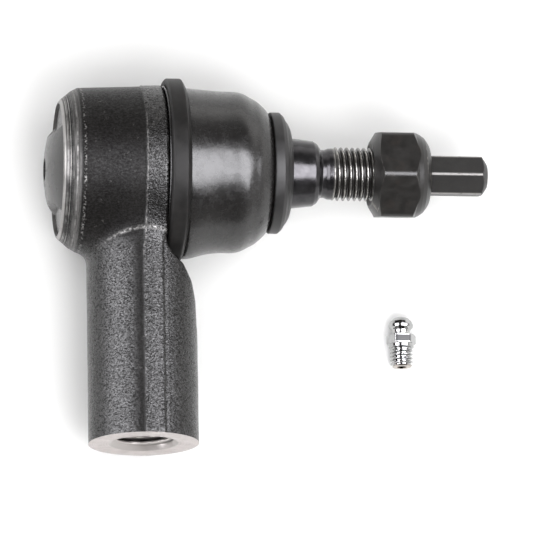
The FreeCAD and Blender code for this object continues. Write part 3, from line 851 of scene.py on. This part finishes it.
# ------------------------------------------------------------------ ball stud
def build_stud():
    m = 144
    corner = math.degrees(math.atan2(math.cos(math.radians(9.0)), -math.sin(math.radians(9.0))))
    th = circle(m, math.radians(corner))
    a = np.radians(np.linspace(163.0, 33.6, 40))
    ball = np.stack([13.5 * np.cos(a), 13.5 * np.sin(a)], -1)
    start = np.array([(-12.9, 1.2), (-12.9, 2.4), (-12.9, 3.2)])
    neck = soften([(11.3, 7.45, 0), (12.6, 7.5, 1.2), (21.0, 7.5, 3.0), (29.5, 9.35, 1.5), (37.9, 9.35, 0.8), (45.05, 8.50, 0.25), (46.1, 7.85, 0.35), (47.15, 6.30, 0.35), (48.2, 6.25, 0.4), (49.0, 6.62, 0.2),
                   (49.9, 6.70, 0.2), (50.0, 6.70, 0)], 0.3, closed=False)
    xs = np.arange(50.1, 75.55, 0.095)
    screw = np.stack([xs, np.full(len(xs), 7.0)], -1)
    tip = soften([(75.6, 6.1, 0), (75.62, 5.92, 0), (89.25, 5.92, 0.2), (90.75, 3.75, 0.25), (91.1, 3.2, 0.25), (91.1, 1.5, 0)], 0.2, closed=False)
    tip = densify(tip, 0.45, closed=False)
    prof = np.vstack([start, ball, densify(neck, 0.5, closed=False), screw, tip])
    x = prof[:, :1]
    r = np.broadcast_to(prof[:, 1:2], (len(prof), m)).copy()
    tt = np.broadcast_to(th[None, :], r.shape)
    xx = np.broadcast_to(x, r.shape)
    is_screw = ((xx > 50.05) & (xx < 75.58)).astype(float)
    depth = 0.90 * step(xx, 50.0, 51.3)
    full = np.where(xx < 50.9, 6.70 + 0.30 * step(xx, 50.0, 50.7), 7.0)
    end = np.clip(xx - 74.9, 0, 1) * 1.1
    thread = full - depth * (1 - vee(xx, tt, 1.5))
    thread = np.minimum(thread, 7.0 - end)
    r = np.where(is_screw > 0, thread, r)
    is_tip = xx > 75.59
    r = np.where(is_tip, np.minimum(r, hex_radius(tt, 10.0, corner, 5.70)), r)
    ob = rings_mesh("stud_forging", about_x(x, r, th), poles=((-12.9, BALL_Y, 0), (91.1, BALL_Y, 0)), sharp=30.0)
    return finish_piece(ob, M_STUD, "stud", ["ball_stud"])


# ------------------------------------------------------------------ lock nut and insert
def build_nut():
    m = 192
    corner = math.degrees(math.atan2(math.cos(math.radians(13.5)), -math.sin(math.radians(13.5))))
    th = circle(m, math.radians(corner))
    prof = soften([(60.3, 8.25, 0), (60.32, 8.75, 0.2), (61.75, 11.0, 0.5), (62.9, 13.2, 0), (70.3, 13.2, 0), (71.75, 11.3, 0.7), (73.1, 10.65, 0.8), (74.2, 9.9, 0.7), (75.0, 8.85, 0.6), (75.45, 8.1, 0.3),
                   (75.6, 7.75, 0.15)], 0.3, closed=False)
    prof = densify(prof, 0.12, closed=False)
    x = prof[:, :1]
    outer = np.minimum(hex_radius(np.broadcast_to(th[None, :], (len(prof), m)), 22.0, corner, 12.42), prof[:, 1:2])
    rows = [about_x(x, outer, th)]
    inner = [(75.55, 7.45), (74.46, 7.40), (74.46, 9.0), (71.5, 9.0), (71.5, 7.15)]
    rows.append(about_x(np.array([[p[0]] for p in inner]), np.array([[p[1]] for p in inner]), th))
    xs = np.arange(71.35, 61.15, -0.11)
    xx = np.broadcast_to(xs[:, None], (len(xs), m))
    tt = np.broadcast_to(th[None, :], xx.shape)
    r = 7.06 - 0.90 * (1 - vee(xx, tt, 1.5))
    r = np.maximum(r, 8.25 - (xx - 60.3) * 1.1)
    r = np.maximum(r, 7.06 - (71.45 - xx) * 1.0)
    rows.append(about_x(xs[:, None], r, th))
    rows.append(about_x(np.array([[60.85], [60.35]]), np.array([[7.65], [8.2]]), th))
    ob = rings_mesh("lock_nut_body", np.vstack(rows), loop=True, sharp=28.0)
    return finish_piece(ob, M_NUT, "nut", ["lock_nut"])


def build_insert():
    prof = soften([(71.6, 7.06, 0.1), (71.6, 8.93, 0.15), (74.38, 8.93, 0.15), (74.38, 7.06, 0.3)], 0.1)
    ob = lathe_x("nylon_ring", densify(prof, 0.4), 144, 40.0)
    return finish_piece(ob, M_NYLON, "nut_insert", ["nylon_insert"])


# ------------------------------------------------------------------ grease fitting
def build_fitting():
    m = 96
    top = FIT_Y + FIT_LEN / 2
    th = circle(m)
    prof = soften([(0.0, 0.78, 0), (0.0, 1.45, 0.25), (0.35, 2.15, 0.4), (1.15, 2.92, 0.6), (2.1, 3.28, 0.5), (2.75, 3.16, 0.4), (3.45, 2.42, 0.4), (4.2, 2.30, 0.4), (4.72, 2.62, 0.2), (4.8, 3.5, 0),
                   (4.95, 3.75, 0), (5.2, 4.2, 0), (6.85, 4.2, 0), (7.25, 3.6, 0.1), (7.32, 3.3, 0.1), (8.1, 3.28, 0.2), (8.3, 2.8, 0.1)], 0.2, closed=False)
    prof = densify(prof, 0.12, closed=False)
    t = prof[:, :1]
    r = np.broadcast_to(prof[:, 1:2], (len(prof), m)).copy()
    tt = np.broadcast_to(th[None, :], r.shape)
    hexed = (np.broadcast_to(t, r.shape) > 4.78) & (np.broadcast_to(t, r.shape) < 7.29)
    r = np.where(hexed, np.minimum(r, hex_radius(tt, 7.0, 0.0, 3.93)), r)
    rows = [about_y(top - t, r, th, FIT_X, FIT_Z)]
    xs = np.arange(8.4, 13.35, 0.07)
    xx = np.broadcast_to(xs[:, None], (len(xs), m))
    tt = np.broadcast_to(th[None, :], xx.shape)
    r = 2.98 - 0.58 * (1 - vee(xx, tt, 1.0)) * step(xx, 8.4, 9.2)
    r = np.minimum(r, 2.98 - np.clip(xx - 12.7, 0, None) * 0.95)
    r = np.minimum(r, 2.75 + np.clip(xx - 8.4, 0, None) * 1.0)
    rows.append(about_y(top - xs[:, None], r, th, FIT_X, FIT_Z))
    inner = [(13.38, 1.35), (13.25, 1.2), (9.0, 1.2), (2.5, 1.2), (1.1, 1.2), (0.45, 0.76), (0.1, 0.75)]
    rows.append(about_y(top - np.array([[p[0]] for p in inner]), np.array([[p[1]] for p in inner]), th, FIT_X, FIT_Z))
    ob = rings_mesh("fitting_nipple", np.vstack(rows), loop=True, sharp=32.0)
    return finish_piece(ob, M_ZINC, "grease_fitting", ["fitting_body"])


def build_fitting_spring():
    """Coil behind the check ball."""
    old = frame["nodes"]["fitting_spring"]
    ys = [(old.matrix_world @ v.co).y / MM for v in old.data.vertices]
    wire, y0, y1 = 0.2, min(ys) + 0.2, max(ys) - 0.2
    t = np.linspace(0, 1, 7 * 28 + 1)
    phi = 2 * np.pi * 7.0 * t
    c = np.stack([FIT_X + 0.72 * np.cos(phi), y0 + (y1 - y0) * t, FIT_Z + 0.72 * np.sin(phi)], -1)
    tan = np.gradient(c, axis=0)
    tan /= np.linalg.norm(tan, axis=1)[:, None]
    out = np.stack([np.cos(phi), np.zeros(len(t)), np.sin(phi)], -1)
    side = np.cross(tan, out)
    a = circle(12)
    rings = c[:, None, :] + wire * (np.cos(a)[None, :, None] * out[:, None, :] + np.sin(a)[None, :, None] * side[:, None, :])
    ob = rings_mesh("check_spring_coil", rings, poles=(tuple(c[0]), tuple(c[-1])), sharp=60.0)
    finish_piece(ob, M_SPRING, "grease_fitting", ["fitting_spring"])
    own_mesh(ob)


build_housing()
build_cover()
build_ring()
build_boot()
build_collar()
build_stud()
build_nut()
build_insert()
build_fitting()
build_fitting_spring()

# carried-over CAD pieces
for node, mat in (("rear_ball_seat", M_SEAT), ("front_ball_seat", M_SEAT), ("preload_spring", M_SPRING), ("neck_ring", M_SPRING),
                  ("fitting_check_ball", M_SPRING), ("fitting_spring_seat", M_ZINC)):
    ob = frame["nodes"][node]
    ob.data.materials.clear()
    ob.data.materials.append(mat)

# ------------------------------------------------------------------ stage, light and camera
me = bpy.data.meshes.new("floor")
e = 3.0
me.from_pydata([(-e, -e, FLOOR_Z * MM), (e, -e, FLOOR_Z * MM), (e, e, FLOOR_Z * MM), (-e, e, FLOOR_Z * MM)], [], [(0, 1, 2, 3)])
floor = bpy.data.objects.new("floor", me)
bpy.context.scene.collection.objects.link(floor)
fm = bpy.data.materials.new("floor")
fm.use_nodes = True
fb = fm.node_tree.nodes["Principled BSDF"]
fb.inputs["Base Color"].default_value = (0.93, 0.93, 0.93, 1)
fb.inputs["Roughness"].default_value = 0.9
fb.inputs["Specular IOR Level"].default_value = 0.1
me.materials.append(fm)

world = bpy.data.worlds.new("studio")
bpy.context.scene.world = world
world.use_nodes = True
wt = world.node_tree
bg = wt.nodes["Background"]
tc = wt.nodes.new("ShaderNodeTexCoord")
sp = wt.nodes.new("ShaderNodeSeparateXYZ")
wt.links.new(tc.outputs["Generated"], sp.inputs[0])
rp = wt.nodes.new("ShaderNodeMapRange")
rp.interpolation_type = "SMOOTHSTEP"
wt.links.new(sp.outputs[2], rp.inputs["Value"])
rp.inputs["From Min"].default_value = 0.15
rp.inputs["From Max"].default_value = 0.60
rp.inputs["To Min"].default_value = 0.95
rp.inputs["To Max"].default_value = 0.10
wt.links.new(rp.outputs[0], bg.inputs["Strength"])
bg.inputs["Color"].default_value = (1.0, 0.985, 0.97, 1)
wall = wt.nodes.new("ShaderNodeVectorMath")
wall.operation = "DOT_PRODUCT"
wt.links.new(tc.outputs["Generated"], wall.inputs[0])
wall.inputs[1].default_value = (0.45, 0.80, 0.0)
lift = wt.nodes.new("ShaderNodeMath")
lift.operation = "ADD"
wt.links.new(wall.outputs["Value"], lift.inputs[0])
lift.inputs[1].default_value = 1.0
both = wt.nodes.new("ShaderNodeMath")
both.operation = "MULTIPLY"
wt.links.new(lift.outputs[0], both.inputs[0])
wt.links.new(rp.outputs[0], both.inputs[1])
wt.links.new(both.outputs[0], bg.inputs["Strength"])

BALL = Vector((0, BALL_Y, 0)) * MM
view = Vector((-0.132, -0.245, 0.961)).normalized()
right = Vector((0, 1, 0)).cross(view).normalized()
up = view.cross(right)
roll = math.radians(1.1)
right, up = right * math.cos(roll) - up * math.sin(roll), right * math.sin(roll) + up * math.cos(roll)


def area(name, at, size_x, size_y, power, color=(1, 1, 1), aim=None):
    light = bpy.data.lights.new(name, "AREA")
    light.shape = "RECTANGLE"
    light.size, light.size_y = size_x, size_y
    light.energy = power
    light.color = color
    ob = bpy.data.objects.new(name, light)
    ob.location = at
    d = (aim if aim is not None else BALL) - ob.location
    ob.rotation_mode = "QUATERNION"
    ob.rotation_quaternion = d.to_track_quat("-Z", "Y")
    bpy.context.scene.collection.objects.link(ob)
    return ob


centre = BALL + Vector((0.035, -0.02, 0))


def toward(across, above):
    """Direction at these angles to the camera's own, across and up."""
    a, b = math.radians(across), math.radians(above)
    return view * (math.cos(a) * math.cos(b)) + right * (math.sin(a) * math.cos(b)) + up * math.sin(b)


def softbox(name, across, above, width, height, far, radiance, color):
    w, h = 2 * far * math.tan(math.radians(width / 2)), 2 * far * math.tan(math.radians(height / 2))
    ob = area(name, centre + toward(across, above) * far, w, h, radiance * math.pi * w * h, color, centre)
    ob.visible_diffuse = False
    return ob


# two softboxes either side of the camera make the highlights, a third lights the ground
softbox("box_right", 34.0, 6.6, 42.0, 55.0, 0.8, 12.0, (0.965, 0.96, 1.0))
softbox("box_left", -47.0, 6.6, 54.0, 55.0, 0.8, 9.0, (0.965, 0.96, 1.0))
fill = area("ground_fill", centre + (view * 0.9 + right * 0.21 - up * 0.24).normalized() * 1.2, 0.36, 0.36, 3.8, (1, 1, 1), centre)
fill.visible_glossy = False
sky = area("ceiling_bounce", centre + (view * 0.96 + right * 0.12 - up * 0.13).normalized() * 1.3, 1.9, 1.9, 32.0, (1, 1, 1), centre)
sky.visible_glossy = False

scale = 3.85                                  # pixels per mm at the stud's axis
target = BALL + right * ((267 - 140) / scale * MM) - up * ((267 - 171) / scale * MM)
dist = 1.5
cam = bpy.data.cameras.new("camera")
cam.sensor_width = 36.0
cam.lens = 36.0 * dist / (534 / scale * MM)
cam.clip_start, cam.clip_end = 0.05, 20.0
cob = bpy.data.objects.new("camera", cam)
cob.location = target + view * dist
cob.rotation_mode = "QUATERNION"
cob.rotation_quaternion = Matrix((right, up, view)).transposed().to_quaternion()
bpy.context.scene.collection.objects.link(cob)
bpy.context.scene.camera = cob
bpy.context.scene.view_settings.view_transform = "Standard"

bpy.context.view_layer.update()
